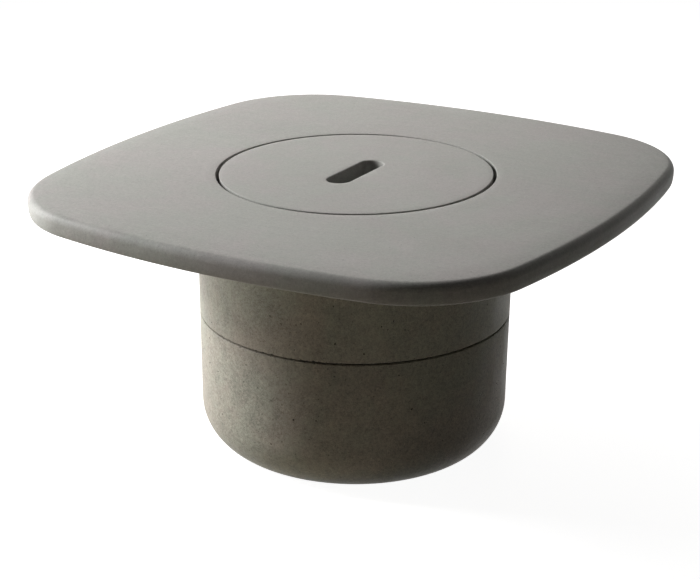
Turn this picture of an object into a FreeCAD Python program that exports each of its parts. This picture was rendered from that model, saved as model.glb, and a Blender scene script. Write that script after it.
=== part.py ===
import FreeCAD, Part
import math
import os

# Ice bucket coffee table: a cast concrete top on a two-part concrete drum, with a loose round lid
# over a steel ice bucket that hangs in the drum and lifts out.
# Millimetres. The origin is on the floor under the table's centre, X and Y run along the sides of
# the top and +Z is up. The lid's finger slot runs along Y.

# Table top
table_height = 408.0
top_side = 800.0
side_bow_radius = 1400.0
corner_radius = 176.0
top_thickness = 30.0
top_edge_round = 15.0
under_edge_round = 5.0
edge_flat = 4.0
mouth_inset = 6.0
mouth_edge_round = 1.6
ledge_width = 24.0
collar_height = 30.0

# Drum: an upper and a lower casting bolted together through inner lips
drum_radius = 228.0
drum_wall = 22.0
seam_height = 205.0
seam_gap = 2.4
seam_edge_round = 1.0
lip_reach = 28.0
lip_bolt_inset = 12.5
lip_thickness = 22.0
lip_fillet = 4.0
foot_round = 72.0
foot_round_height = 67.0
foot_inner_round = 50.0
base_height = 1.5
base_rim_thickness = 24.0
base_opening_radius = 138.0
gasket_inset = 6.0
gasket_width = 20.0

# Lid
lid_gap = 5.0
lid_thickness = 22.0
lid_edge_round = 1.6
slot_length = 125.0
slot_width = 35.0
slot_edge_round = 2.0
lid_pad_radius = 7.0
lid_pad_height = 4.0
lid_pad_count = 6

# Ice bucket
bucket_wall = 1.5
bucket_flange_gap = 4.0
bucket_ledge_gap = 4.0
bucket_draw = 12.0
bucket_depth = 265.0
bucket_floor_round = 20.0
bucket_rim_round = 4.0
bucket_seal_thickness = 2.0
bucket_seal_width = 16.0

# Drop handles inside the bucket
handle_wire = 6.0
handle_grip = 104.0
handle_drop = 45.0
handle_bend = 14.0
handle_eye_bend = 6.0
handle_pin_proud = 3.0
handle_inset = 22.0
handle_below_rim = 31.0
ear_thickness = 3.0
ear_gap = 1.0
ear_radius = 8.0
foot_thickness = 2.0
foot_width = 30.0
foot_height = 34.0
rivet_radius = 2.4
rivet_head_radius = 4.2
rivet_head_height = 1.6
rivet_spacing = 20.0
rivet_from_ear = 9.0

# Drain in the bucket's floor
drain_radius = 13.0
drain_bore_radius = 8.0
drain_flange_radius = 23.0
drain_flange_thickness = 2.5
drain_seal_thickness = 2.0
drain_length = 30.0
drain_seat_top_radius = 10.5
drain_seat_low_radius = 9.0
drain_seat_depth = 12.0
drain_nut_across = 36.0
drain_nut_height = 9.0
stopper_cap_radius = 15.0
stopper_cap_thickness = 3.0
stopper_stem_radius = 4.0
stopper_stem_height = 11.0
stopper_knob_radius = 7.5
stopper_knob_height = 8.0

# Screws, nuts, washers and pins
bolt_radius = 5.0
bolt_head_across = 16.0
bolt_head_height = 6.4
nut_height = 8.4
washer_radius = 10.0
washer_thickness = 2.0
bolt_count = 6
bolt_thread_proud = 1.2
top_bolt_thread = 15.5
insert_radius = 7.0
insert_length = 25.0
insert_bore_depth = 20.0
insert_groove = 1.0
dowel_radius = 5.0
dowel_length = 26.0
dowel_count = 3

# Pads under the drum
base_pad_radius = 18.0
base_pad_height = 4.0
base_pad_inset = 65.0
base_pad_count = 6

# Clearances
bolt_hole_clearance = 0.5
thread_clearance = 0.05
pin_clearance = 0.05
running_clearance = 0.05
seat_clearance = 0.3
stopper_clearance = 0.1
collar_clearance = 1.0
lip_clearance = 0.5
rivet_seat_gap = 0.3
spigot_clearance = 0.5
cut_over = 5.0

# Radii that follow from the drum's, from the outside in
drum_inner = drum_radius - drum_wall
lip_inner = drum_inner - lip_reach
bolt_circle_radius = lip_inner + lip_bolt_inset
base_pad_circle = drum_radius - base_pad_inset
mouth_radius = drum_inner - mouth_inset
lid_radius = mouth_radius - lid_gap
ledge_inner = mouth_radius - ledge_width
bucket_flange_radius = mouth_radius - bucket_flange_gap
bucket_top_radius = ledge_inner - bucket_ledge_gap
bucket_bottom_radius = bucket_top_radius - bucket_draw
handle_offset = bucket_top_radius - handle_inset

# Heights and lengths that follow from the stack of parts
top_under = table_height - top_thickness
collar_under = top_under - collar_height
lid_under = table_height - lid_thickness
flange_top = lid_under - lid_pad_height
flange_under = flange_top - bucket_wall
ledge_height = flange_under - bucket_seal_thickness
bucket_under = flange_top - bucket_depth
bucket_floor = bucket_under + bucket_wall
seam_low = seam_height - seam_gap / 2
seam_high = seam_height + seam_gap / 2
top_lip_height = collar_under - lip_clearance
handle_height = flange_top - handle_below_rim
drum_grip = 2 * lip_thickness + seam_gap + 2 * washer_thickness
drum_bolt_length = drum_grip + nut_height + bolt_thread_proud
top_bolt_length = washer_thickness + lip_thickness + lip_clearance + top_bolt_thread
bolt_step = 360.0 / bolt_count

Z_AXIS = FreeCAD.Vector(0, 0, 1)


def point(x, y, z):
    return FreeCAD.Vector(x, y, z)


def rounded_wire(corners):
    """Closed wire through (point, radius) corners, each rounded by its radius."""
    count = len(corners)
    starts = []
    ends = []
    edges = []
    for i in range(count):
        corner, radius = corners[i]
        to_last = corners[i - 1][0] - corner
        to_next = corners[(i + 1) % count][0] - corner
        to_last.normalize()
        to_next.normalize()
        if radius <= 0:
            starts.append(corner)
            ends.append(corner)
            continue
        half_angle = to_last.getAngle(to_next) / 2
        setback = radius / math.tan(half_angle)
        inward = to_last + to_next
        inward.normalize()
        middle = corner + inward * (radius / math.sin(half_angle) - radius)
        starts.append(corner + to_last * setback)
        ends.append(corner + to_next * setback)
        edges.append(Part.Arc(starts[i], middle, ends[i]).toShape())
    for i in range(count):
        start = ends[i - 1]
        if start.distanceToPoint(starts[i]) > 1e-6:
            edges.append(Part.makeLine(start, starts[i]))
    return Part.Wire(Part.__sortEdges__(edges))


def turned(outline):
    """Solid turned about Z from an outline of (radius, height, corner radius) points."""
    corners = [(point(r, 0, z), corner) for r, z, corner in outline]
    face = Part.Face(rounded_wire(corners))
    return face.revolve(point(0, 0, 0), Z_AXIS, 360)


def disc(radius, low, high):
    return Part.makeCylinder(radius, high - low, point(0, 0, low))


def ring(outer, inner, low, high):
    return disc(outer, low, high).cut(disc(inner, low - cut_over, high + cut_over))


def around(shape, radius, count, first_angle):
    """Copies of a shape made on the Z axis, set on a circle about it."""
    copies = []
    for i in range(count):
        copy = shape.copy()
        copy.translate(point(radius, 0, 0))
        copy.rotate(point(0, 0, 0), Z_AXIS, first_angle + i * 360.0 / count)
        copies.append(copy)
    return copies


def cut_all(shape, tools):
    return shape.cut(Part.makeCompound(tools))


def flat_edges(shape, height, reach):
    """Edges that lie flat at a height and within a reach of the Z axis."""
    found = []
    for edge in shape.Edges:
        box = edge.BoundBox
        level = abs(box.ZMin - height) < 1e-4 and abs(box.ZMax - height) < 1e-4
        near = max(abs(box.XMin), abs(box.XMax), abs(box.YMin), abs(box.YMax)) < reach
        if level and near:
            found.append(edge)
    return found


def hexagon(across, low, high, low_chamfer, high_chamfer):
    """Hexagonal block with its corners turned off at the ends asked for."""
    corner = across / math.sqrt(3)
    flat = across * 0.48
    drop = (corner - flat) * math.tan(math.radians(30))
    points = [point(corner * math.cos(math.radians(60 * i)),
                    corner * math.sin(math.radians(60 * i)), low) for i in range(7)]
    block = Part.Face(Part.makePolygon(points)).extrude(point(0, 0, high - low))
    outline = [(0, low, 0)]
    if low_chamfer:
        outline += [(flat, low, 0), (corner, low + drop, 0)]
    else:
        outline += [(corner, low, 0)]
    if high_chamfer:
        outline += [(corner, high - drop, 0), (flat, high, 0)]
    else:
        outline += [(corner, high, 0)]
    outline += [(0, high, 0)]
    return block.common(turned(outline))


def hex_bolt(seat, length, points_up):
    """Hexagon bolt on the Z axis with its head against the seat height."""
    tip = seat + length if points_up else seat - length
    head_end = seat - bolt_head_height if points_up else seat + bolt_head_height
    head = hexagon(bolt_head_across, min(seat, head_end), max(seat, head_end), points_up,
                   not points_up)
    shank = disc(bolt_radius, min(seat, tip), max(seat, tip))
    tip_edges = [e for e in shank.Edges if abs(e.BoundBox.ZMin - tip) < 1e-6
                 and abs(e.BoundBox.ZMax - tip) < 1e-6]
    shank = shank.makeChamfer(bolt_radius * 0.15, tip_edges)
    return head.fuse(shank).removeSplitter()


def washer(low):
    return ring(washer_radius, bolt_radius + bolt_hole_clearance, low, low + washer_thickness)


def top_outline():
    """Outline of the top: four bowed sides that run into four round corners."""
    half = top_side / 2
    side_centre = half - side_bow_radius
    span = side_bow_radius - corner_radius
    corner_centre = (side_centre + math.sqrt(2 * span ** 2 - side_centre ** 2)) / 2
    side_angle = math.degrees(math.asin(corner_centre / span))

    def on_side(angle):
        turn = math.radians(angle)
        return (side_centre + side_bow_radius * math.cos(turn), side_bow_radius * math.sin(turn))

    tip = corner_centre + corner_radius / math.sqrt(2)
    arcs = []
    for quarter in range(4):
        turn = math.radians(90 * quarter)

        def placed(xy):
            x, y = xy
            return point(x * math.cos(turn) - y * math.sin(turn),
                         x * math.sin(turn) + y * math.cos(turn), top_under)

        joint_x, joint_y = on_side(side_angle)
        arcs.append(Part.Arc(placed(on_side(-side_angle)), placed((half, 0)),
                             placed((joint_x, joint_y))).toShape())
        arcs.append(Part.Arc(placed((joint_x, joint_y)), placed((tip, tip)),
                             placed((joint_y, joint_x))).toShape())
    return Part.Wire(arcs)


def insert_outline(low, bore):
    """Turned outline of a cast-in threaded insert with two grip grooves."""
    high = low + insert_length
    waist = insert_radius - insert_groove
    fifth = insert_length / 5
    return [(bore, low, 0), (insert_radius, low, 0), (insert_radius, low + fifth, 0),
            (waist, low + fifth, 0), (waist, low + 2 * fifth, 0), (insert_radius, low + 2 * fifth, 0),
            (insert_radius, low + 3 * fifth, 0), (waist, low + 3 * fifth, 0),
            (waist, low + 4 * fifth, 0), (insert_radius, low + 4 * fifth, 0),
            (insert_radius, high, 0), (bore, high, 0)]


def make_table_top():
    slab = Part.Face(top_outline()).extrude(point(0, 0, top_thickness))
    room = (top_thickness - edge_flat) / (top_edge_round + under_edge_round)
    ease = min(1.0, room)
    slab = slab.makeFillet(top_edge_round * ease, flat_edges(slab, table_height, top_side))
    slab = slab.makeFillet(under_edge_round * ease, flat_edges(slab, top_under, top_side))
    collar = disc(drum_inner - collar_clearance, collar_under, ledge_height)
    body = slab.fuse(collar).removeSplitter()
    body = body.cut(disc(mouth_radius, ledge_height, table_height + cut_over))
    body = body.cut(disc(ledge_inner, collar_under - cut_over, ledge_height + cut_over))
    body = body.makeFillet(mouth_edge_round, flat_edges(body, table_height, mouth_radius + 1))
    pocket = turned(insert_outline(collar_under, 0))
    return cut_all(body, around(pocket, bolt_circle_radius, bolt_count, 0))


def make_top_inserts():
    insert = turned(insert_outline(collar_under, 0))
    bore = disc(bolt_radius + thread_clearance, collar_under - cut_over,
                collar_under + insert_bore_depth)
    return around(insert.cut(bore), bolt_circle_radius, bolt_count, 0)


def lip_holes(low, high, first_angle):
    hole = disc(bolt_radius + bolt_hole_clearance, low - cut_over, high + cut_over)
    return around(hole, bolt_circle_radius, bolt_count, first_angle)


def dowel_holes():
    depth = dowel_length / 2 + seat_clearance
    hole = disc(dowel_radius + pin_clearance, seam_height - depth, seam_height + depth)
    return around(hole, bolt_circle_radius, dowel_count, 0)


def make_upper_drum():
    outline = [(lip_inner, seam_high, 0), (drum_radius, seam_high, seam_edge_round),
               (drum_radius, top_under, 0), (drum_inner, top_under, 0),
               (drum_inner, top_lip_height, 0), (lip_inner, top_lip_height, seam_edge_round),
               (lip_inner, top_lip_height - lip_thickness, seam_edge_round),
               (drum_inner, top_lip_height - lip_thickness, lip_fillet),
               (drum_inner, seam_high + lip_thickness, lip_fillet),
               (lip_inner, seam_high + lip_thickness, seam_edge_round)]
    body = turned(outline)
    top_holes = lip_holes(top_lip_height - lip_thickness, top_lip_height, 0)
    seam_holes = lip_holes(seam_high, seam_high + lip_thickness, bolt_step / 2)
    return cut_all(body, top_holes + seam_holes + dowel_holes())


def make_lower_drum():
    foot_under = foot_round_height - foot_round
    rim_top = base_height + base_rim_thickness
    outline = [(base_opening_radius, foot_under, 0), (drum_radius, foot_under, foot_round),
               (drum_radius, seam_low, seam_edge_round), (lip_inner, seam_low, 0),
               (lip_inner, seam_low - lip_thickness, seam_edge_round),
               (drum_inner, seam_low - lip_thickness, lip_fillet),
               (drum_inner, rim_top, foot_inner_round), (base_opening_radius, rim_top, seam_edge_round)]
    body = turned(outline).cut(disc(drum_radius, foot_under - cut_over, base_height))
    bolt_holes = lip_holes(seam_low - lip_thickness, seam_low, bolt_step / 2)
    pocket = disc(base_pad_radius + pin_clearance, base_height - cut_over, base_pad_height)
    pockets = around(pocket, base_pad_circle, base_pad_count, 0)
    return cut_all(body, bolt_holes + dowel_holes() + pockets)


def make_seam_gasket():
    outer = drum_radius - gasket_inset
    return [ring(outer, outer - gasket_width, seam_low, seam_high)]


def make_locating_dowels():
    pin = disc(dowel_radius, seam_height - dowel_length / 2, seam_height + dowel_length / 2)
    return around(pin.makeChamfer(dowel_radius * 0.15, pin.Edges[0:1] + pin.Edges[2:3]),
                  bolt_circle_radius, dowel_count, 0)


def make_drum_bolts():
    seat = seam_high + lip_thickness + washer_thickness
    return around(hex_bolt(seat, drum_bolt_length, False), bolt_circle_radius, bolt_count,
                  bolt_step / 2)


def make_drum_washers():
    upper = around(washer(seam_high + lip_thickness), bolt_circle_radius, bolt_count, bolt_step / 2)
    lower = around(washer(seam_low - lip_thickness - washer_thickness), bolt_circle_radius,
                   bolt_count, bolt_step / 2)
    return upper + lower


def make_drum_nuts():
    high = seam_low - lip_thickness - washer_thickness
    block = hexagon(bolt_head_across, high - nut_height, high, True, True)
    bore = disc(bolt_radius + thread_clearance, high - nut_height - cut_over, high + cut_over)
    return around(block.cut(bore), bolt_circle_radius, bolt_count, bolt_step / 2)


def make_top_bolts():
    seat = top_lip_height - lip_thickness - washer_thickness
    return around(hex_bolt(seat, top_bolt_length, True), bolt_circle_radius, bolt_count, 0)


def make_top_washers():
    low = top_lip_height - lip_thickness - washer_thickness
    return around(washer(low), bolt_circle_radius, bolt_count, 0)


def make_base_pads():
    pad = turned([(0, 0, 0), (base_pad_radius, 0, 0.5), (base_pad_radius, base_pad_height, 0),
                  (0, base_pad_height, 0)])
    return around(pad, base_pad_circle, base_pad_count, 0)


def make_lid():
    body = turned([(0, lid_under, 0), (lid_radius, lid_under, lid_edge_round),
                   (lid_radius, table_height, lid_edge_round), (0, table_height, 0)])
    end_radius = slot_width / 2
    straight = slot_length / 2 - end_radius
    low = lid_under - cut_over
    corners = [(point(x * end_radius, y * (straight + end_radius), low), end_radius * 0.9999)
               for x, y in ((-1, -1), (1, -1), (1, 1), (-1, 1))]
    slot = Part.Face(rounded_wire(corners)).extrude(point(0, 0, lid_thickness + 2 * cut_over))
    body = body.cut(slot)
    rims = flat_edges(body, table_height, slot_length) + flat_edges(body, lid_under, slot_length)
    return [body.makeFillet(slot_edge_round, rims)]


def make_lid_pads():
    pad = turned([(0, flange_top, 0), (lid_pad_radius, flange_top, 1.0),
                  (lid_pad_radius, lid_under, 0), (0, lid_under, 0)])
    middle = (bucket_top_radius + bucket_flange_radius) / 2
    return around(pad, middle, lid_pad_count, bolt_step / 2)


def bucket_slope():
    return (bucket_top_radius - bucket_bottom_radius) / (flange_under - bucket_under)


def bucket_inner_radius(height):
    """Radius of the bucket's inner face at a height."""
    tilt = math.atan(bucket_slope())
    outer = bucket_top_radius - (flange_under - height) * bucket_slope()
    return outer - bucket_wall / math.cos(tilt)


def bucket_room(inset):
    """Solid that fills the bucket, drawn in from its wall by an inset."""
    low = bucket_floor
    return turned([(0, low, 0), (bucket_inner_radius(low) - inset, low, 0),
                   (bucket_inner_radius(flange_top) - inset, flange_top, 0), (0, flange_top, 0)])


def make_bucket_shell():
    rim_inner = bucket_inner_radius(flange_top)
    floor_inner = bucket_inner_radius(bucket_floor)
    body = turned([(0, bucket_under, 0), (bucket_bottom_radius, bucket_under, bucket_floor_round),
                   (bucket_top_radius, flange_under, bucket_rim_round),
                   (bucket_flange_radius, flange_under, bucket_wall * 0.45),
                   (bucket_flange_radius, flange_top, bucket_wall * 0.45),
                   (rim_inner, flange_top, bucket_rim_round + bucket_wall),
                   (floor_inner, bucket_floor, bucket_floor_round - bucket_wall),
                   (0, bucket_floor, 0)])
    return body.cut(disc(drain_radius + spigot_clearance, bucket_under - cut_over,
                         bucket_floor + cut_over))


def make_bucket_seal():
    inner = bucket_flange_radius - seat_clearance - bucket_seal_width
    return [ring(inner + bucket_seal_width, inner, ledge_height, flange_under)]


def ear_places():
    """Middle of each ear along Y for the right-hand handle."""
    offset = handle_grip / 2 + handle_eye_bend + ear_gap + ear_thickness / 2
    return (-offset, offset)


def rivet_places(ear_y):
    """Angle about Z and height of the two rivets of one bracket."""
    side = 1 if ear_y > 0 else -1
    across = ear_y + side * rivet_from_ear
    angle = math.degrees(math.asin(across / bucket_inner_radius(handle_height)))
    return [(angle, handle_height + step * rivet_spacing / 2) for step in (-1, 1)]


def on_wall(shape, angle, height):
    """Place a shape made along +X at the origin square to the bucket's inner face."""
    placed = shape.copy()
    tilt = math.degrees(math.atan(bucket_slope()))
    placed.rotate(point(0, 0, 0), point(0, 1, 0), tilt)
    placed.translate(point(bucket_inner_radius(height), 0, height))
    placed.rotate(point(0, 0, 0), Z_AXIS, angle)
    return placed


def rivet_body():
    """Rivet along +X: shop head inside the bucket, shank and flat outer head."""
    inside = -foot_thickness - 2 * rivet_seat_gap
    outside = bucket_wall + rivet_seat_gap
    shank = Part.makeCylinder(rivet_radius, outside - inside, point(inside, 0, 0), point(1, 0, 0))
    head = Part.makeCylinder(rivet_head_radius, rivet_head_height,
                             point(inside - rivet_head_height, 0, 0), point(1, 0, 0))
    head = head.makeFillet(rivet_head_height * 0.6,
                           [e for e in head.Edges if e.BoundBox.XMax < inside - rivet_head_height / 2])
    tail = Part.makeCylinder(rivet_head_radius, rivet_head_height / 2, point(outside, 0, 0),
                             point(1, 0, 0))
    return shank.fuse([head, tail]).removeSplitter()


def rivet_holes(ear_y):
    drill = Part.makeCylinder(rivet_radius + pin_clearance, 4 * cut_over, point(-2 * cut_over, 0, 0),
                              point(1, 0, 0))
    return [on_wall(drill, angle, height) for angle, height in rivet_places(ear_y)]


def make_bracket(ear_y):
    """Riveted foot on the bucket's wall with an ear that holds one end of a handle."""
    side = 1 if ear_y > 0 else -1
    foot_low = ear_y - side * ear_thickness / 2
    span = sorted((foot_low, foot_low + side * foot_width))
    patch = Part.makeBox(bucket_top_radius, span[1] - span[0], foot_height,
                         point(0, span[0], handle_height - foot_height / 2))
    foot_back = bucket_room(rivet_seat_gap)
    foot = foot_back.cut(bucket_room(rivet_seat_gap + foot_thickness)).common(patch)
    ear_low = ear_y - ear_thickness / 2
    plate = Part.makeBox(bucket_top_radius, ear_thickness, 2 * ear_radius,
                         point(handle_offset, ear_low, handle_height - ear_radius))
    nose = Part.makeCylinder(ear_radius, ear_thickness, point(handle_offset, ear_low, handle_height),
                             point(0, 1, 0))
    eye = Part.makeCylinder(handle_wire / 2 + running_clearance, ear_thickness + 2 * cut_over,
                            point(handle_offset, ear_low - cut_over, handle_height), point(0, 1, 0))
    ear = plate.fuse(nose).common(bucket_room(foot_thickness / 2))
    bracket = foot.fuse(ear).removeSplitter().cut(eye)
    return cut_all(bracket, rivet_holes(ear_y))


def both_sides(shapes):
    """The shapes and their copies turned half a turn to the other handle."""
    copies = []
    for shape in shapes:
        copy = shape.copy()
        copy.rotate(point(0, 0, 0), Z_AXIS, 180)
        copies.append(copy)
    return shapes + copies


def make_handle():
    """Bail of round wire, hanging flat, with its two ends turned out as its own hinge pins."""
    leg = handle_grip / 2
    pin_end = leg + handle_eye_bend + ear_gap + ear_thickness + handle_pin_proud
    low = handle_height - handle_drop
    x = handle_offset
    turns = [(point(x, pin_end, handle_height), 0), (point(x, leg, handle_height), handle_eye_bend),
             (point(x, leg, low), handle_bend), (point(x, -leg, low), handle_bend),
             (point(x, -leg, handle_height), handle_eye_bend), (point(x, -pin_end, handle_height), 0)]
    edges = []
    last = turns[0][0]
    for i in range(1, len(turns) - 1):
        corner, radius = turns[i]
        back = turns[i - 1][0] - corner
        ahead = turns[i + 1][0] - corner
        back.normalize()
        ahead.normalize()
        inward = back + ahead
        inward.normalize()
        start = corner + back * radius
        end = corner + ahead * radius
        middle = corner + inward * (radius * math.sqrt(2) - radius)
        edges.append(Part.makeLine(last, start))
        edges.append(Part.Arc(start, middle, end).toShape())
        last = end
    edges.append(Part.makeLine(last, turns[-1][0]))
    path = Part.Wire(edges)
    section = Part.Wire(Part.makeCircle(handle_wire / 2, turns[0][0], point(0, 1, 0)))
    return path.makePipeShell([section], True, False)


def make_drain_body():
    seal_top = bucket_floor + drain_seal_thickness
    top = seal_top + drain_flange_thickness
    low = bucket_under - drain_length
    seat_low = top - drain_seat_depth
    return [turned([(drain_bore_radius, low, 0), (drain_radius, low, 1.0), (drain_radius, seal_top, 0),
                    (drain_flange_radius, seal_top, 0), (drain_flange_radius, top, 1.0),
                    (drain_seat_top_radius, top, 0), (drain_seat_low_radius, seat_low, 0),
                    (drain_bore_radius, seat_low, 0)])]


def make_drain_seal():
    return [ring(drain_flange_radius - seat_clearance, drain_radius + spigot_clearance, bucket_floor,
                 bucket_floor + drain_seal_thickness)]


def make_drain_nut():
    low = bucket_under - drain_nut_height
    block = hexagon(drain_nut_across, low, bucket_under, True, False)
    return [block.cut(disc(drain_radius + thread_clearance, low - cut_over, bucket_under + cut_over))]


def make_drain_stopper():
    top = bucket_floor + drain_seal_thickness + drain_flange_thickness
    seat_low = top - drain_seat_depth + seat_clearance
    cap_low = top + seat_clearance
    cap_top = cap_low + stopper_cap_thickness
    knob_low = cap_top + stopper_stem_height
    knob_top = knob_low + stopper_knob_height
    return [turned([(0, seat_low, 0), (drain_seat_low_radius - stopper_clearance, seat_low, 0.5),
                    (drain_seat_top_radius - stopper_clearance, cap_low, 0),
                    (stopper_cap_radius, cap_low, 0), (stopper_cap_radius, cap_top, 1.0),
                    (stopper_stem_radius, cap_top, 2.0), (stopper_stem_radius, knob_low, 1.0),
                    (stopper_knob_radius, knob_low, stopper_knob_height * 0.3),
                    (stopper_knob_radius, knob_top, stopper_knob_height * 0.45), (0, knob_top, 0)])]


def make_nodes():
    shell = make_bucket_shell()
    brackets = [make_bracket(ear_y) for ear_y in ear_places()]
    holes = [hole for ear_y in ear_places() for hole in rivet_holes(ear_y)]
    rivets = [on_wall(rivet_body(), angle, height)
              for ear_y in ear_places() for angle, height in rivet_places(ear_y)]
    handle = make_handle()
    right_handle, left_handle = both_sides([handle])
    return {
        "table_top": [make_table_top()],
        "top_inserts": make_top_inserts(),
        "top_bolts": make_top_bolts(),
        "top_washers": make_top_washers(),
        "upper_drum": [make_upper_drum()],
        "seam_gasket": make_seam_gasket(),
        "locating_dowels": make_locating_dowels(),
        "lower_drum": [make_lower_drum()],
        "drum_bolts": make_drum_bolts(),
        "drum_washers": make_drum_washers(),
        "drum_nuts": make_drum_nuts(),
        "base_pads": make_base_pads(),
        "lid": make_lid(),
        "lid_pads": make_lid_pads(),
        "ice_bucket": [cut_all(shell, both_sides(holes))],
        "bucket_seal": make_bucket_seal(),
        "handle_brackets": both_sides(brackets),
        "bracket_rivets": both_sides(rivets),
        "bucket_handle_right": [right_handle],
        "bucket_handle_left": [left_handle],
        "drain_body": make_drain_body(),
        "drain_seal": make_drain_seal(),
        "drain_nut": make_drain_nut(),
        "drain_stopper": make_drain_stopper(),
    }


def main():
    os.makedirs("parts", exist_ok=True)
    for name, pieces in make_nodes().items():
        solids = [solid for piece in pieces for solid in piece.Solids]
        shape = solids[0] if len(solids) == 1 else Part.makeCompound(solids)
        if not shape.isValid():
            raise ValueError(name + " is not a valid shape")
        shape.exportStep("parts/" + name + ".step")
        box = shape.BoundBox
        print(name, len(solids), "solids", round(shape.Volume / 1000.0, 2), "cm3, z",
              round(box.ZMin, 2), "to", round(box.ZMax, 2))


main()
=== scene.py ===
import math
import random

import bmesh
import bpy
from mathutils import Matrix, Vector


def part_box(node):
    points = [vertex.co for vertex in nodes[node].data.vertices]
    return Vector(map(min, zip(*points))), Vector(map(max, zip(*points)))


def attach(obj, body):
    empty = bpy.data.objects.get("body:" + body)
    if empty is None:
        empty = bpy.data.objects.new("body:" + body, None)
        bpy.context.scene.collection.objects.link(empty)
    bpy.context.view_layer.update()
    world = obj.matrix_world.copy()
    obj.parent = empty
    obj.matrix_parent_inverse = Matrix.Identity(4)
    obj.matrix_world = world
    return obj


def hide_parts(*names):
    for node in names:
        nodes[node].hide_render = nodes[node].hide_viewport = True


# The ice bucket coffee table, in metres, in the CAD model's frame. The castings are rebuilt as smooth
# meshes with air holes and chipped edges, and the steel and rubber nodes keep their shape and get
# finished materials.
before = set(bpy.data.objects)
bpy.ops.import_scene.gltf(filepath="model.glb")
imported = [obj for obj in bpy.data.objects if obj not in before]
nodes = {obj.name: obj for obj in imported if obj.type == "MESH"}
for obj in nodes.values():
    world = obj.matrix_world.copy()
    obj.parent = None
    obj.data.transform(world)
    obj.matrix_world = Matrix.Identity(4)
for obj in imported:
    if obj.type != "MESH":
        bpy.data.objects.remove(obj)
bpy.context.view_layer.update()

MM = 0.001

# Boxes of the CAD castings, and the height of the bucket seal's underside
TOP_LOW, TOP_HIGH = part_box("table_top")
LID_LOW, LID_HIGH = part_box("lid")
UPPER_LOW, UPPER_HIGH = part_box("upper_drum")
LOWER_LOW, LOWER_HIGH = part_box("lower_drum")
SEAL_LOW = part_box("bucket_seal")[0].z

# The slab and its collar
HALF_SIDE = (TOP_HIGH.x - TOP_LOW.x) / 2
TABLE_HEIGHT = TOP_HIGH.z
TOP_UNDER = UPPER_HIGH.z
COLLAR_UNDER = TOP_LOW.z
COLLAR_RADIUS = 205 * MM
SIDE_BOW = 1400 * MM
CORNER_RADIUS = 176 * MM
MOUTH_RADIUS = 200 * MM
MOUTH_ROUND = 0.9 * MM
LEDGE_INNER = 176 * MM

# The slab's edge: a slightly fallen shoulder, a crown that starts at an angle in degrees, and a belly
SHOULDER_WIDTH = 50 * MM
SHOULDER_DROP = 1.1 * MM
CROWN_WIDTH = 11 * MM
CROWN_DEPTH = 12 * MM
CROWN_START = 6
BELLY_WIDTH = 3.5 * MM
BELLY_DEPTH = 14 * MM

# The lid and its finger slot
LID_RADIUS = (LID_HIGH.x - LID_LOW.x) / 2
LID_UNDER = LID_LOW.z
LID_ROUND = 0.9 * MM
SLOT_LENGTH = 125 * MM
SLOT_WIDTH = 35 * MM
SLOT_ROUND = 2 * MM

# The two drum castings, their inner lips and the foot
DRUM_RADIUS = (UPPER_HIGH.x - UPPER_LOW.x) / 2
DRUM_INNER = 206 * MM
LIP_INNER = 178 * MM
LIP_THICKNESS = 22 * MM
LIP_CLEARANCE = 0.5 * MM
TOP_LIP_HEIGHT = COLLAR_UNDER - LIP_CLEARANCE
SEAM_ROUND = 1.6 * MM
FOOT_ROUND = 72 * MM
FOOT_CENTRE = 67 * MM
FOOT_INNER_ROUND = 50 * MM
BASE_HEIGHT = LOWER_LOW.z
BASE_RIM_TOP = 25.5 * MM
BASE_OPENING = 138 * MM

# How finely the castings are divided
AROUND = 512
SHOULDER_STEPS = 10
CROWN_STEPS = 18
BELLY_STEPS = 14
SMALL_ROUND_STEPS = 5
SEAM_STEPS = 4
FOOT_STEPS = 30
HOLLOW_STEPS = 12
WIDE_FACE_STEPS = 16
UNDERSIDE_STEPS = 8
CAST_SMOOTH_ANGLE = 32
CAD_SMOOTH_ANGLE = 28

# The photograph's camera, fitted to the outline, the seam, the ring round the lid and the slot
FRAME_WIDTH = 700
FRAME_HEIGHT = 579
CAMERA_AZIMUTH = math.radians(30.639)
CAMERA_DISTANCE = 2.3584
CAMERA_HEIGHT = 1.1080
CAMERA_YAW = math.radians(4.213)
CAMERA_PITCH = math.radians(26.211)
CAMERA_ROLL = math.radians(-1.231)
FOCAL_PIXELS = 1694.4
CENTRE_SHIFT_X = -109.6
CENTRE_SHIFT_Y = 172.2
SENSOR = 36.0

# Air holes in the drum and chips along its seam, as (x, y) in the photograph's pixels and a radius in mm
AIR_HOLES = [(270, 316, 1.2), (335, 344, 1.3), (364, 354, 1.2), (293.5, 420, 1.4), (316, 421, 1.1),
             (412, 409, 1.2), (271, 444, 1.2), (246, 365, 1.1), (350, 474, 1.3), (271, 401, 0.9),
             (282, 405, 0.9), (281, 324, 0.8), (287, 320, 0.8), (296, 325, 0.9), (301, 324, 0.9),
             (405, 330, 1.0), (282, 442, 0.8), (273, 419, 0.7), (301, 409, 0.7), (367, 397, 0.7),
             (355, 467, 0.8), (320, 457, 0.7), (443, 365, 0.7), (463, 389, 0.7), (340, 430, 0.6),
             (384, 442, 0.7), (330, 385, 0.6), (258, 425, 0.7), (434, 431, 0.7), (318, 371, 0.7)]
SEAM_CHIPS = [(250, 349.5, 0.8), (256, 351, 1.3), (263, 352.8, 1.2), (266, 353.8, 0.9),
              (272, 355.2, 1.7), (283, 357.6, 0.8), (291, 359.2, 0.9), (301, 360.8, 1.3),
              (307, 361.8, 1.0), (313.5, 362.4, 1.7), (319, 363, 1.3), (326, 363.8, 0.9),
              (341, 364.9, 0.8), (362, 365.4, 0.8), (380, 364.9, 0.7), (405, 362.4, 0.8),
              (428, 357.8, 0.7), (452, 350.6, 0.9), (471, 342.5, 0.8)]

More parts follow.
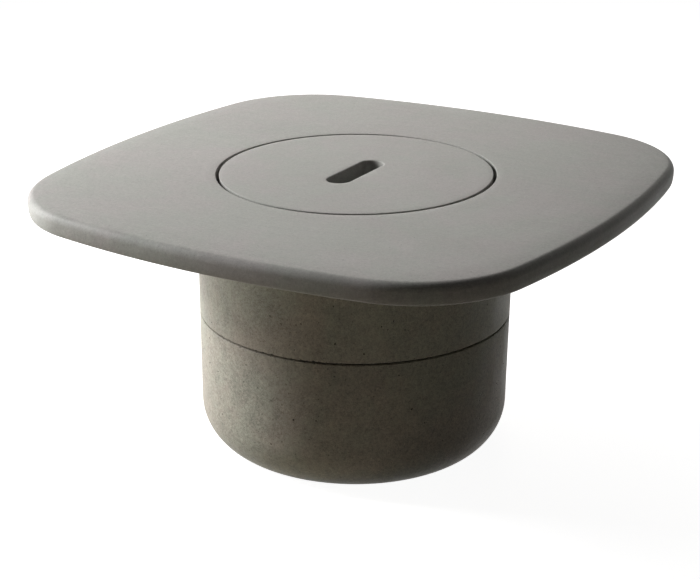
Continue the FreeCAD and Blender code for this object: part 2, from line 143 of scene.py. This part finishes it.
# How many holes and chips each drum casting has in all
UPPER_HOLES = 60
LOWER_HOLES = 80
UPPER_CHIPS = 60
LOWER_CHIPS = 30

# Holes and chips: those seen in the photograph, and the others, whose radii in mm and stretch have a range
SEEN_HOLE_DEPTH = 2.0 * MM
SEEN_CHIP_DEPTH = 1.9 * MM
SEEN_CHIP_STRETCH = (1.7, 1.3)
OTHER_HOLE_DEPTH = 1.4 * MM
OTHER_HOLE_RADII = (0.4, 1.1)
OTHER_HOLE_STRETCH = (0.8, 1.3)
OTHER_CHIP_DEPTH = 1.2 * MM
OTHER_CHIP_RADII = (0.5, 1.2)
OTHER_CHIP_STRETCH = (1, 2)
HOLE_MARGIN = 6 * MM
HOLE_SPACE = 5 * MM
HOLE_SPACE_ANGLE = 0.03
CHIP_SPACE_ANGLE = 0.012
BLOB_WOBBLE = 0.16
CHANCE_SEED = 5

# Stretch per metre of the marks left by the trowel and the mould
STROKES = {"round": (150.0, 1.5, 1.5), "straight": (5.0, 120.0, 5.0), "down": (30.0, 30.0, 9.0)}
CONCRETE_GLOSS = 0.12
CONCRETE_ROUGHNESS = 0.50
RUBBER_GLOSS = 0.35

# The surroundings
FLOOR_REACH = 9.0
FLOOR_GLOW = 0.94
SKY_FILL = 0.01
LAMP_AIM = Vector((0, 0, 0.3))
NEUTRAL = (1.0, 1.0, 1.0)
WARM = (1.0, 0.96, 0.90)


def placed(name, data):
    """New object in the scene that holds the data."""
    made = bpy.data.objects.new(name, data)
    bpy.context.scene.collection.objects.link(made)
    return made


def camera_axes():
    """Forward, right and up of the photograph's camera."""
    turn = CAMERA_AZIMUTH + CAMERA_YAW
    forward = Vector((-math.sin(turn) * math.cos(CAMERA_PITCH),
                      math.cos(turn) * math.cos(CAMERA_PITCH), -math.sin(CAMERA_PITCH)))
    level = forward.cross(Vector((0, 0, 1))).normalized()
    upright = level.cross(forward)
    right = level * math.cos(CAMERA_ROLL) + upright * math.sin(CAMERA_ROLL)
    up = upright * math.cos(CAMERA_ROLL) - level * math.sin(CAMERA_ROLL)
    return forward, right, up


def camera_place():
    return Vector((CAMERA_DISTANCE * math.sin(CAMERA_AZIMUTH),
                   -CAMERA_DISTANCE * math.cos(CAMERA_AZIMUTH), CAMERA_HEIGHT))


def make_camera():
    forward, right, up = camera_axes()
    data = bpy.data.cameras.new("camera")
    data.sensor_width = SENSOR
    data.lens = FOCAL_PIXELS / FRAME_WIDTH * SENSOR
    data.shift_x = -CENTRE_SHIFT_X / FRAME_WIDTH
    data.shift_y = CENTRE_SHIFT_Y / FRAME_WIDTH
    data.clip_end = 50
    camera = placed("camera", data)
    turn = Matrix((right, up, -forward)).transposed()
    camera.matrix_world = Matrix.Translation(camera_place()) @ turn.to_4x4()
    bpy.context.scene.camera = camera


def on_drum(px, py):
    """Angle about Z and height of the drum's wall where a pixel of the photograph sees it."""
    forward, right, up = camera_axes()
    across = (px - FRAME_WIDTH / 2 - CENTRE_SHIFT_X) / FOCAL_PIXELS
    down = (py - FRAME_HEIGHT / 2 - CENTRE_SHIFT_Y) / FOCAL_PIXELS
    ray = forward + right * across - up * down
    eye = camera_place()
    a = ray.x ** 2 + ray.y ** 2
    b = ray.x * eye.x + ray.y * eye.y
    c = eye.x ** 2 + eye.y ** 2 - DRUM_RADIUS ** 2
    reach = (-b - math.sqrt(b * b - a * c)) / a
    spot = eye + ray * reach
    return math.atan2(spot.y, spot.x), spot.z


class Graph:
    """A node tree of a material or world, with short calls that add and join its nodes."""

    def __init__(self, owner, output):
        owner.use_nodes = True
        self.owner = owner
        self.tree = owner.node_tree
        self.tree.nodes.clear()
        self.output = self.add(output)

    def add(self, kind, **settings):
        node = self.tree.nodes.new(kind)
        for key, value in settings.items():
            setattr(node, key, value)
        return node

    def put(self, socket, value):
        if isinstance(value, bpy.types.NodeSocket):
            self.tree.links.new(value, socket)
        else:
            socket.default_value = value

    def math(self, operation, first, second=0.0):
        node = self.add("ShaderNodeMath", operation=operation)
        self.put(node.inputs[0], first)
        self.put(node.inputs[1], second)
        return node.outputs[0]

    def stretched(self, scale, turn=0.0, place=None):
        node = self.add("ShaderNodeMapping")
        self.put(node.inputs["Vector"], place or self.place)
        node.inputs["Scale"].default_value = scale
        node.inputs["Rotation"].default_value = (0, 0, turn)
        return node.outputs[0]

    def noise(self, scale, detail, roughness, distortion=0.0, place=None):
        node = self.add("ShaderNodeTexNoise")
        self.put(node.inputs["Vector"], place or self.place)
        node.inputs["Scale"].default_value = scale
        node.inputs["Detail"].default_value = detail
        node.inputs["Roughness"].default_value = roughness
        node.inputs["Distortion"].default_value = distortion
        return node.outputs["Fac"]

    def cells(self, scale):
        """Distance from cell centres and a random value per cell."""
        node = self.add("ShaderNodeTexVoronoi")
        self.put(node.inputs["Vector"], self.place)
        node.inputs["Scale"].default_value = scale
        split = self.add("ShaderNodeSeparateColor")
        self.put(split.inputs[0], node.outputs["Color"])
        return node.outputs["Distance"], split.outputs[0]

    def band(self, value, low, high, out_low=0.0, out_high=1.0):
        """Value mapped from low..high to out_low..out_high, held at the ends."""
        node = self.add("ShaderNodeMapRange")
        self.put(node.inputs["Value"], value)
        node.inputs["From Min"].default_value = low
        node.inputs["From Max"].default_value = high
        node.inputs["To Min"].default_value = out_low
        node.inputs["To Max"].default_value = out_high
        return node.outputs[0]

    def mix(self, amount, first, second):
        node = self.add("ShaderNodeMix", data_type="RGBA")
        self.put(node.inputs[0], amount)
        self.put(node.inputs[6], first)
        self.put(node.inputs[7], second)
        return node.outputs[2]

    def bump(self, height, distance, strength, normal=None):
        node = self.add("ShaderNodeBump")
        self.put(node.inputs["Height"], height)
        node.inputs["Distance"].default_value = distance
        node.inputs["Strength"].default_value = strength
        if normal:
            self.put(node.inputs["Normal"], normal)
        return node.outputs[0]

    def shader(self, kind, **sockets):
        """Output of a new shader node whose named inputs are set."""
        node = self.add(kind)
        for name, value in sockets.items():
            self.put(node.inputs[name.replace("_", " ")], value)
        return node.outputs[0]

    def finish(self, shader):
        self.put(self.output.inputs["Surface"], shader)
        return self.owner

    def surface(self, tone, roughness, normal, **sockets):
        return self.finish(self.shader("ShaderNodeBsdfPrincipled", Base_Color=tone, Roughness=roughness,
                                       Normal=normal, **sockets))


def material_graph(name):
    graph = Graph(bpy.data.materials.new(name), "ShaderNodeOutputMaterial")
    graph.place = graph.add("ShaderNodeTexCoord").outputs["Object"]
    return graph


def colour(red, green, blue):
    return (red, green, blue, 1.0)


def dimmed(tone, red, green, blue):
    """Tone with each of its parts multiplied."""
    return colour(tone[0] * red, tone[1] * green, tone[2] * blue)


def polar_place(graph):
    """Coordinates wound round Z: radius plus height, then the bearing's cosine and sine."""
    split = graph.add("ShaderNodeSeparateXYZ")
    graph.put(split.inputs[0], graph.place)
    x, y, z = split.outputs
    radius = graph.math("SQRT", graph.math("ADD", graph.math("MULTIPLY", x, x),
                                           graph.math("MULTIPLY", y, y)))
    wound = graph.add("ShaderNodeCombineXYZ")
    graph.put(wound.inputs[0], graph.math("ADD", radius, z))
    graph.put(wound.inputs[1], graph.math("DIVIDE", x, radius))
    graph.put(wound.inputs[2], graph.math("DIVIDE", y, radius))
    return wound.outputs[0]


def signed(graph, value):
    """Noise moved from about 0..1 to about -1..1."""
    return graph.math("MULTIPLY", graph.math("SUBTRACT", value, 0.5), 2.0)


def summed(graph, layers, start):
    """Start plus each (value, amount) pair, the value counted from its middle."""
    total = start
    for value, amount in layers:
        total = graph.math("ADD", graph.math("MULTIPLY", signed(graph, value), amount), total)
    return total


def pinholes(graph, per_metre, size, share):
    """1 inside small round holes in a share of the cells of a grid, 0 elsewhere."""
    fade = 0.02
    distance, pick = graph.cells(per_metre)
    chosen = graph.band(pick, 1.0 - share, 1.0 - share + fade)
    inside = graph.band(distance, size, size * 0.5)
    return graph.math("MULTIPLY", inside, chosen)


def streaked(graph, kind):
    """Noise drawn out along the trowel's strokes, round the middle or down the mould's wall."""
    place = polar_place(graph) if kind == "round" else graph.place
    turn = -CAMERA_AZIMUTH - CAMERA_YAW if kind == "straight" else 0.0
    marks = graph.stretched(STROKES[kind], turn, place)
    return graph.noise(1.0, detail=5.0, roughness=0.65, distortion=0.5, place=marks)


def concrete(name, greens, pinks, contrast, streaks, hole_share):
    """Cast concrete: cloudy olive and rose tones, sandy grain, trowel streaks, and pinholes and fine specks
    darkened with painted shade.
    """
    graph = material_graph(name)
    clouds = graph.noise(3.0, detail=4.0, roughness=0.6, distortion=0.6)
    patches = graph.noise(17.0, detail=5.0, roughness=0.62, distortion=0.4)
    mottle = graph.noise(64.0, detail=4.0, roughness=0.6)
    grain = graph.noise(230.0, detail=3.0, roughness=0.65)
    sand = graph.noise(640.0, detail=3.0, roughness=0.7)
    lines = [(streaked(graph, kind), amount) for kind, amount in streaks]
    main_lines = lines[0][0]
    holes = pinholes(graph, per_metre=150.0, size=0.16, share=hole_share)
    fine_pinholes = pinholes(graph, per_metre=420.0, size=0.26, share=hole_share * 2.0)
    shades = [(clouds, 0.10), (patches, 0.18), (mottle, 0.14), (grain, 0.30), (sand, 0.42)]
    gain = summed(graph, [(value, amount * contrast) for value, amount in shades] + lines, 1.0)
    # Painted shade: the pinholes and the fine specks are darkened in colour as the shade inside small
    # holes.
    for marks, hole_shade in ((holes, 0.60), (fine_pinholes, 0.40)):
        gain = graph.math("SUBTRACT", gain, graph.math("MULTIPLY", marks, hole_shade))
    wide_hue = graph.noise(7.0, detail=4.0, roughness=0.55, distortion=0.8)
    small_hue = graph.noise(45.0, detail=4.0, roughness=0.65, distortion=0.3)
    hue = graph.math("ADD", wide_hue, graph.math("MULTIPLY", small_hue, 0.45))
    tone = graph.mix(graph.band(hue, 0.60, 0.86), greens, pinks)
    scaled = graph.add("ShaderNodeVectorMath", operation="SCALE")
    graph.put(scaled.inputs[0], tone)
    graph.put(scaled.inputs["Scale"], gain)
    reliefs = [(main_lines, 0.4, 0.4), (patches, 1.0, 0.30), (mottle, 0.5, 0.35), (grain, 0.20, 0.5),
               (sand, 0.09, 0.5), (graph.math("SUBTRACT", 1.0, holes), 0.8, 0.8)]
    normal = None
    for height, depth, strength in reliefs:
        normal = graph.bump(height, depth * MM, strength, normal)
    roughness = summed(graph, [(patches, 0.12), (main_lines, 0.10), (mottle, 0.06)], CONCRETE_ROUGHNESS)
    return graph.surface(scaled.outputs[0], roughness, normal, Specular_IOR_Level=CONCRETE_GLOSS)


def brushed_steel(name, base, round_marks, low=0.22, high=0.40):
    """Stainless steel, roughness low to high, with marks from spinning or brushing, and water haze."""
    graph = material_graph(name)
    if round_marks:
        place = graph.stretched((2600.0, 1.2, 1.2), place=polar_place(graph))
    else:
        place = graph.stretched((1800.0, 60.0, 1800.0))
    marks = graph.noise(1.0, detail=3.0, roughness=0.7, place=place)
    haze = graph.noise(22.0, detail=5.0, roughness=0.6, distortion=0.3)
    spots = graph.noise(300.0, detail=2.0, roughness=0.5)
    tone = graph.mix(graph.band(haze, 0.35, 0.75, 0.0, 0.45), base, dimmed(base, 0.82, 0.82, 0.82))
    tone = graph.mix(graph.band(spots, 0.6, 0.75, 0.0, 0.25), tone, dimmed(base, 0.7, 0.69, 0.66))
    roughness = graph.band(graph.math("ADD", marks, haze), 0.6, 1.4, low, high)
    return graph.surface(tone, roughness, graph.bump(marks, 0.05 * MM, 0.35), Metallic=1.0)


def rubber(name, base):
    """Moulded rubber with dust in its fine grain."""
    graph = material_graph(name)
    grain = graph.noise(900.0, detail=3.0, roughness=0.6)
    dust = graph.noise(60.0, detail=5.0, roughness=0.65)
    tone = graph.mix(graph.band(dust, 0.45, 0.8, 0.0, 0.5), base, dimmed(base, 2.4, 2.3, 2.2))
    roughness = graph.band(dust, 0.3, 0.8, 0.55, 0.8)
    return graph.surface(tone, roughness, graph.bump(grain, 0.1 * MM, 0.6), Specular_IOR_Level=RUBBER_GLOSS)


def brass(name):
    """Turned brass, bright where it is clean and brown where it is tarnished."""
    graph = material_graph(name)
    place = graph.stretched((900.0, 900.0, 2400.0))
    marks = graph.noise(1.0, detail=3.0, roughness=0.6, place=place)
    tarnish = graph.noise(160.0, detail=4.0, roughness=0.6)
    tone = graph.mix(graph.band(tarnish, 0.4, 0.75), colour(0.60, 0.45, 0.20), colour(0.34, 0.24, 0.11))
    roughness = graph.band(tarnish, 0.3, 0.8, 0.26, 0.5)
    return graph.surface(tone, roughness, graph.bump(marks, 0.1 * MM, 0.5), Metallic=1.0)


def closed_loft(name, rings):
    """Closed band of quads through rings of points, joined round both ways."""
    mesh = bpy.data.meshes.new(name)
    count = len(rings[0])
    points = [spot for ring in rings for spot in ring]
    faces = []
    for i in range(len(rings)):
        here = i * count
        above = (i + 1) % len(rings) * count
        for j in range(count):
            k = (j + 1) % count
            faces.append((here + j, here + k, above + k, above + j))
    mesh.from_pydata(points, [], faces)
    mesh.update()
    return placed(name, mesh)


def face_outward(piece):
    work = bmesh.new()
    work.from_mesh(piece.data)
    bmesh.ops.recalc_face_normals(work, faces=work.faces)
    work.to_mesh(piece.data)
    work.free()


def smooth(piece, angle):
    """Shade smooth, with edges sharper than an angle in degrees kept sharp."""
    for face in piece.data.polygons:
        face.use_smooth = True
    piece.data.set_sharp_from_angle(angle=math.radians(angle))


def turned_arc(centre_r, centre_z, radius, first, last, steps):
    """Points (radius, height) on an arc between two angles in degrees."""
    found = []
    for i in range(steps + 1):
        turn = math.radians(first + (last - first) * i / steps)
        found.append((centre_r + radius * math.cos(turn), centre_z + radius * math.sin(turn)))
    return found


def circle_ring(radius, height, angles):
    return [(radius * math.cos(a), radius * math.sin(a), height) for a in angles]


def all_round():
    return [2 * math.pi * i / AROUND for i in range(AROUND)]


def between(first, last, steps):
    """Rings between two rings, the ends left out."""
    rings = []
    for i in range(1, steps):
        share = i / steps
        rings.append([tuple(p + (q - p) * share for p, q in zip(a, b)) for a, b in zip(first, last)])
    return rings


def top_outline():
    """Points and outward directions round the top's widest outline."""
    side_centre = HALF_SIDE - SIDE_BOW
    span = SIDE_BOW - CORNER_RADIUS
    corner = (side_centre + math.sqrt(2 * span ** 2 - side_centre ** 2)) / 2
    side_angle = math.asin(corner / span)
    side_steps = AROUND // 16
    corner_steps = AROUND // 4 - 2 * side_steps
    found = []
    for quarter in range(4):
        turn = math.pi / 2 * quarter
        arcs = [(side_centre, 0.0, SIDE_BOW, -side_angle, side_angle, 2 * side_steps),
                (corner, corner, CORNER_RADIUS, side_angle, math.pi / 2 - side_angle, corner_steps)]
        for cx, cy, radius, first, last, steps in arcs:
            for i in range(steps):
                a = first + (last - first) * i / steps
                x = cx + radius * math.cos(a)
                y = cy + radius * math.sin(a)
                found.append((x * math.cos(turn) - y * math.sin(turn),
                              x * math.sin(turn) + y * math.cos(turn),
                              math.cos(a + turn), math.sin(a + turn)))
    return found


def top_edge_profile():
    """Points (inset, height) down the slab's edge, from the flat top to the flat underside."""
    first = math.radians(CROWN_START)
    shoulder_end = CROWN_WIDTH * (1 - math.sin(first))
    shoulder = [(SHOULDER_WIDTH + (shoulder_end - SHOULDER_WIDTH) * i / SHOULDER_STEPS,
                 TABLE_HEIGHT - SHOULDER_DROP * (i / SHOULDER_STEPS) ** 2)
                for i in range(SHOULDER_STEPS)]
    turns = [first + (math.pi / 2 - first) * i / CROWN_STEPS for i in range(CROWN_STEPS + 1)]
    crown_high = TABLE_HEIGHT - SHOULDER_DROP
    crown = [(CROWN_WIDTH * (1 - math.sin(t)), crown_high - CROWN_DEPTH * (math.cos(first) - math.cos(t)))
             for t in turns]
    turns = [math.pi / 2 * i / BELLY_STEPS for i in range(1, BELLY_STEPS + 1)]
    belly = [(BELLY_WIDTH * (1 - math.cos(t)), TOP_UNDER + BELLY_DEPTH * (1 - math.sin(t)))
             for t in turns]
    return shoulder + crown + belly


def make_top():
    outline = top_outline()
    angles = [math.atan2(y, x) for x, y, _, _ in outline]
    mouth = turned_arc(MOUTH_RADIUS + MOUTH_ROUND, TABLE_HEIGHT - MOUTH_ROUND, MOUTH_ROUND, 180, 90,
                       SMALL_ROUND_STEPS)
    edge = [[(x - nx * inset, y - ny * inset, height) for x, y, nx, ny in outline]
            for inset, height in top_edge_profile()]
    collar = [(COLLAR_RADIUS, TOP_UNDER), (COLLAR_RADIUS, COLLAR_UNDER), (LEDGE_INNER, COLLAR_UNDER),
              (LEDGE_INNER, SEAL_LOW)]
    inner = [circle_ring(r, z, angles) for r, z in [(MOUTH_RADIUS, SEAL_LOW)] + mouth]
    under = [circle_ring(r, z, angles) for r, z in collar]
    return closed_loft("cast_top", inner + between(inner[-1], edge[0], WIDE_FACE_STEPS) + edge
                       + between(edge[-1], under[0], UNDERSIDE_STEPS) + under)


def slot_outline(angles):
    """Points on the finger slot's edge and the directions from it into the lid."""
    end = SLOT_WIDTH / 2
    straight = SLOT_LENGTH / 2 - end
    found = []
    for a in angles:
        c = math.cos(a)
        s = math.sin(a)
        if abs(c) > 1e-9 and abs(end * s / c) <= straight:
            side = math.copysign(1, c)
            found.append((side * end, side * end * s / c, side, 0.0))
            continue
        middle = math.copysign(straight, s)
        reach = middle * s + math.sqrt(end ** 2 - (middle * c) ** 2)
        x = reach * c
        y = reach * s
        found.append((x, y, x / end, (y - middle) / end))
    return found


def make_lid():
    angles = all_round()
    outline = slot_outline(angles)
    turns = [math.pi / 2 * i / SMALL_ROUND_STEPS for i in range(SMALL_ROUND_STEPS + 1)]

    def slot_edge(turn, face, inward):
        """Ring on the slot's rounded edge at one of the lid's faces."""
        out = SLOT_ROUND * (1 - math.cos(turn))
        height = face + inward * SLOT_ROUND * (1 - math.sin(turn))
        return [(x + nx * out, y + ny * out, height) for x, y, nx, ny in outline]

    slot_top = [slot_edge(t, TABLE_HEIGHT, -1) for t in turns]
    slot_low = [slot_edge(t, LID_UNDER, 1) for t in reversed(turns)]
    rim_centre = LID_RADIUS - LID_ROUND
    rim = turned_arc(rim_centre, TABLE_HEIGHT - LID_ROUND, LID_ROUND, 90, 0, SMALL_ROUND_STEPS)
    rim += turned_arc(rim_centre, LID_UNDER + LID_ROUND, LID_ROUND, 0, -90, SMALL_ROUND_STEPS)
    outer = [circle_ring(r, z, angles) for r, z in rim]
    return closed_loft("cast_lid", slot_top + between(slot_top[-1], outer[0], WIDE_FACE_STEPS) + outer
                       + between(outer[-1], slot_low[0], UNDERSIDE_STEPS) + slot_low)


def make_drum(name, profile, materials):
    angles = all_round()
    piece = closed_loft(name, [circle_ring(r, z, angles) for r, z in profile])
    for material in materials:
        piece.data.materials.append(material)
    return piece


def upper_profile():
    low = UPPER_LOW.z
    seam = turned_arc(DRUM_RADIUS - SEAM_ROUND, low + SEAM_ROUND, SEAM_ROUND, -90, 0, SEAM_STEPS)
    return ([(LIP_INNER, low)] + seam + [(DRUM_RADIUS, TOP_UNDER), (DRUM_INNER, TOP_UNDER),
            (DRUM_INNER, TOP_LIP_HEIGHT), (LIP_INNER, TOP_LIP_HEIGHT),
            (LIP_INNER, TOP_LIP_HEIGHT - LIP_THICKNESS), (DRUM_INNER, TOP_LIP_HEIGHT - LIP_THICKNESS),
            (DRUM_INNER, low + LIP_THICKNESS), (LIP_INNER, low + LIP_THICKNESS)])


def lower_profile():
    high = LOWER_HIGH.z
    foot_end = -math.degrees(math.asin((FOOT_CENTRE - BASE_HEIGHT) / FOOT_ROUND))
    foot = turned_arc(DRUM_RADIUS - FOOT_ROUND, FOOT_CENTRE, FOOT_ROUND, foot_end, 0, FOOT_STEPS)
    seam = turned_arc(DRUM_RADIUS - SEAM_ROUND, high - SEAM_ROUND, SEAM_ROUND, 0, 90, SEAM_STEPS)
    hollow = turned_arc(DRUM_INNER - FOOT_INNER_ROUND, BASE_RIM_TOP + FOOT_INNER_ROUND,
                        FOOT_INNER_ROUND, 0, -90, HOLLOW_STEPS)
    return ([(BASE_OPENING, BASE_HEIGHT)] + foot + seam + [(LIP_INNER, high),
            (LIP_INNER, high - LIP_THICKNESS), (DRUM_INNER, high - LIP_THICKNESS)] + hollow
            + [(BASE_OPENING, BASE_RIM_TOP)])


def blob(work, spot, sizes, turn, chance):
    """Rough little ball in a bmesh, longer along some axes than others."""
    made = bmesh.ops.create_icosphere(work, subdivisions=2, radius=1.0)
    for vertex in made["verts"]:
        wobble = 1 + chance.uniform(-BLOB_WOBBLE, BLOB_WOBBLE)
        x, y, z = (vertex.co[i] * sizes[i] * wobble for i in range(3))
        vertex.co = spot + Vector((x * math.cos(turn) - y * math.sin(turn),
                                   x * math.sin(turn) + y * math.cos(turn), z))


def cut_blobs(piece, blobs, chance):
    """Cut (angle, height, sizes) blobs out of a drum casting's wall, lined with its second material, the
    near-black painted shade of the holes and chips.
    """
    work = bmesh.new()
    for angle, height, sizes in blobs:
        spot = Vector((DRUM_RADIUS * math.cos(angle), DRUM_RADIUS * math.sin(angle), height))
        blob(work, spot, sizes, angle, chance)
    # The cut walls take material 1, painted shade that darkens the inside of each hole and chip.
    for face in work.faces:
        face.material_index = 1
    mesh = bpy.data.meshes.new("cutters")
    for material in piece.data.materials:
        mesh.materials.append(material)
    work.to_mesh(mesh)
    work.free()
    cutter = placed("cutters", mesh)
    change = piece.modifiers.new("holes", "BOOLEAN")
    change.operation = "DIFFERENCE"
    change.solver = "MANIFOLD"
    change.object = cutter
    bpy.context.view_layer.update()
    done = bpy.data.meshes.new_from_object(piece.evaluated_get(bpy.context.evaluated_depsgraph_get()))
    piece.modifiers.clear()
    piece.data = done
    bpy.data.objects.remove(cutter)


def drum_holes(low, high, count, chance):
    """Air holes in the drum's wall: those the photograph shows, then others at random."""
    found = []
    for px, py, radius in AIR_HOLES:
        angle, height = on_drum(px, py)
        if low < height < high:
            found.append((angle, height, (SEEN_HOLE_DEPTH, radius * MM, radius * MM)))
    while len(found) < count:
        size = chance.uniform(*OTHER_HOLE_RADII) * MM
        height = chance.uniform(low, high)
        angle = chance.uniform(-math.pi, math.pi)
        if all(abs(height - other[1]) > HOLE_SPACE or abs(angle - other[0]) > HOLE_SPACE_ANGLE
               for other in found):
            width = size * chance.uniform(*OTHER_HOLE_STRETCH)
            found.append((angle, height, (OTHER_HOLE_DEPTH, width, size)))
    return found


def seam_chips(edge, count, chance, seen):
    """Chips along a drum casting's edge at the seam: those the photograph shows, then others."""
    found = []
    along, upward = SEEN_CHIP_STRETCH
    for px, py, radius in seen:
        angle = on_drum(px, py)[0]
        found.append((angle, edge, (SEEN_CHIP_DEPTH, radius * along * MM, radius * upward * MM)))
    while len(found) < count:
        angle = chance.uniform(-math.pi, math.pi)
        size = chance.uniform(*OTHER_CHIP_RADII) * MM
        if all(abs(angle - other[0]) > CHIP_SPACE_ANGLE for other in found):
            width = size * chance.uniform(*OTHER_CHIP_STRETCH)
            found.append((angle, edge, (OTHER_CHIP_DEPTH, width, size)))
    return found


def finish_casting(piece, node, body):
    face_outward(piece)
    smooth(piece, CAST_SMOOTH_ANGLE)
    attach(piece, body)
    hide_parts(node)


def make_top_and_lid():
    green = colour(0.360, 0.365, 0.340)
    pink = colour(0.378, 0.361, 0.349)
    top = make_top()
    top.data.materials.append(concrete("concrete_top", green, pink, contrast=0.80, hole_share=0.03,
                                       streaks=[("straight", 0.11), ("round", 0.07)]))
    finish_casting(top, "table_top", "table")
    lid = make_lid()
    lid.data.materials.append(concrete("concrete_lid", green, pink, contrast=0.75, hole_share=0.03,
                                       streaks=[("round", 0.10)]))
    finish_casting(lid, "lid", "lid")


def make_drums():
    green = colour(0.326, 0.323, 0.272)
    pink = colour(0.352, 0.319, 0.274)
    # Near-black painted shade for the walls of the air holes and seam chips, standing in for the shade
    # inside them.
    pit_shade = colour(0.05, 0.046, 0.038)
    streaks = [("down", 0.10)]
    finishes = [concrete("concrete_drum", green, pink, contrast=1.75, hole_share=0.14, streaks=streaks),
                concrete("concrete_painted_shade", pit_shade, pit_shade, contrast=1.0, hole_share=0.10, streaks=streaks)]
    chance = random.Random(CHANCE_SEED)
    upper = make_drum("cast_upper_drum", upper_profile(), finishes)
    cuts = drum_holes(UPPER_LOW.z + HOLE_MARGIN, TOP_UNDER - HOLE_MARGIN, UPPER_HOLES, chance)
    cuts += seam_chips(UPPER_LOW.z, UPPER_CHIPS, chance, SEAM_CHIPS)
    cut_blobs(upper, cuts, chance)
    finish_casting(upper, "upper_drum", "table")
    lower = make_drum("cast_lower_drum", lower_profile(), finishes)
    cuts = drum_holes(FOOT_CENTRE, LOWER_HIGH.z - HOLE_MARGIN, LOWER_HOLES, chance)
    cuts += seam_chips(LOWER_HIGH.z, LOWER_CHIPS, chance, [])
    cut_blobs(lower, cuts, chance)
    finish_casting(lower, "lower_drum", "table")


def dress(names, material):
    for name in names:
        for slot in nodes[name].material_slots:
            slot.material = material
        smooth(nodes[name], CAD_SMOOTH_ANGLE)


def finish_cad_nodes():
    steel = colour(0.52, 0.515, 0.50)
    screw = colour(0.52, 0.51, 0.49)
    dress(["ice_bucket"], brushed_steel("spun_steel", steel, round_marks=True))
    dress(["bucket_handle_right", "bucket_handle_left"],
          brushed_steel("wire_steel", steel, round_marks=False, low=0.14, high=0.28))
    dress(["handle_brackets"], brushed_steel("pressed_steel", steel, round_marks=False))
    dress(["drain_body", "drain_nut"],
          brushed_steel("turned_steel", steel, round_marks=True, low=0.18, high=0.34))
    dress(["top_bolts", "top_washers", "drum_bolts", "drum_washers", "drum_nuts", "locating_dowels",
           "bracket_rivets"],
          brushed_steel("screw_steel", screw, round_marks=False, low=0.28, high=0.45))
    dress(["top_inserts"], brass("insert_brass"))
    dress(["seam_gasket"], rubber("gasket_rubber", colour(0.010, 0.0095, 0.009)))
    dress(["bucket_seal", "drain_seal"], rubber("seal_rubber", colour(0.035, 0.035, 0.035)))
    dress(["drain_stopper"], rubber("stopper_rubber", colour(0.03, 0.03, 0.03)))
    dress(["base_pads", "lid_pads"], rubber("pad_rubber", colour(0.06, 0.06, 0.058)))


def backdrop(graph, lighting, shown):
    """The second shader for camera, glossy and transmission rays, and the first for all others."""
    path = graph.add("ShaderNodeLightPath")
    seen = graph.math("MAXIMUM", path.outputs["Is Camera Ray"], path.outputs["Is Glossy Ray"])
    seen = graph.math("MAXIMUM", seen, path.outputs["Is Transmission Ray"])
    pick = graph.add("ShaderNodeMixShader")
    for socket, value in zip(pick.inputs, (seen, lighting, shown)):
        graph.put(socket, value)
    return pick.outputs[0]


def make_floor():
    mesh = bpy.data.meshes.new("floor")
    corners = [(x * FLOOR_REACH, y * FLOOR_REACH, 0) for x, y in ((-1, -1), (1, -1), (1, 1), (-1, 1))]
    mesh.from_pydata(corners, [], [(0, 1, 2, 3)])
    floor = placed("floor", mesh)
    graph = material_graph("floor")
    matt = graph.shader("ShaderNodeBsdfDiffuse", Color=colour(0.55, 0.55, 0.55))
    bounce = graph.shader("ShaderNodeBsdfDiffuse", Color=colour(0.38, 0.338, 0.265))
    glow = graph.shader("ShaderNodeEmission", Strength=FLOOR_GLOW)
    both = graph.add("ShaderNodeAddShader")
    graph.put(both.inputs[0], matt)
    graph.put(both.inputs[1], glow)
    mesh.materials.append(graph.finish(backdrop(graph, bounce, both.outputs[0])))


def make_world():
    graph = Graph(bpy.data.worlds.new("world"), "ShaderNodeOutputWorld")
    fill = graph.shader("ShaderNodeBackground", Color=colour(1.0, 0.985, 0.96), Strength=SKY_FILL)
    white = graph.shader("ShaderNodeBackground", Color=colour(1.0, 1.0, 1.0), Strength=1.0)
    bpy.context.scene.world = graph.finish(backdrop(graph, fill, white))


def soft_light(name, bearing, rise, distance, width, height, power, tint):
    """Area light aimed at the table. Bearing 0 is from the camera's side, positive to its right."""
    turn = CAMERA_AZIMUTH + math.radians(bearing)
    lift = math.radians(rise)
    place = LAMP_AIM + Vector((math.sin(turn) * math.cos(lift), -math.cos(turn) * math.cos(lift),
                               math.sin(lift))) * distance
    data = bpy.data.lights.new(name, "AREA")
    data.shape = "RECTANGLE"
    data.size = width
    data.size_y = height
    data.energy = power
    data.color = tint
    lamp = placed(name, data)
    lamp.location = place
    lamp.rotation_euler = (LAMP_AIM - place).to_track_quat("-Z", "Y").to_euler()


def make_lights():
    soft_light("key", bearing=-103, rise=28, distance=2.6, width=0.9, height=0.5, power=64, tint=NEUTRAL)
    soft_light("side", bearing=-107, rise=7, distance=2.4, width=1.1, height=1.1, power=44, tint=NEUTRAL)
    soft_light("back high", bearing=-172, rise=50, distance=2.0, width=1.6, height=1.6, power=9, tint=WARM)
    soft_light("back low", bearing=-172, rise=15, distance=2.6, width=2.0, height=2.0, power=12, tint=WARM)


make_camera()
make_world()
make_floor()
make_lights()
make_top_and_lid()
make_drums()
finish_cad_nodes()
bpy.context.scene.view_settings.view_transform = "Standard"
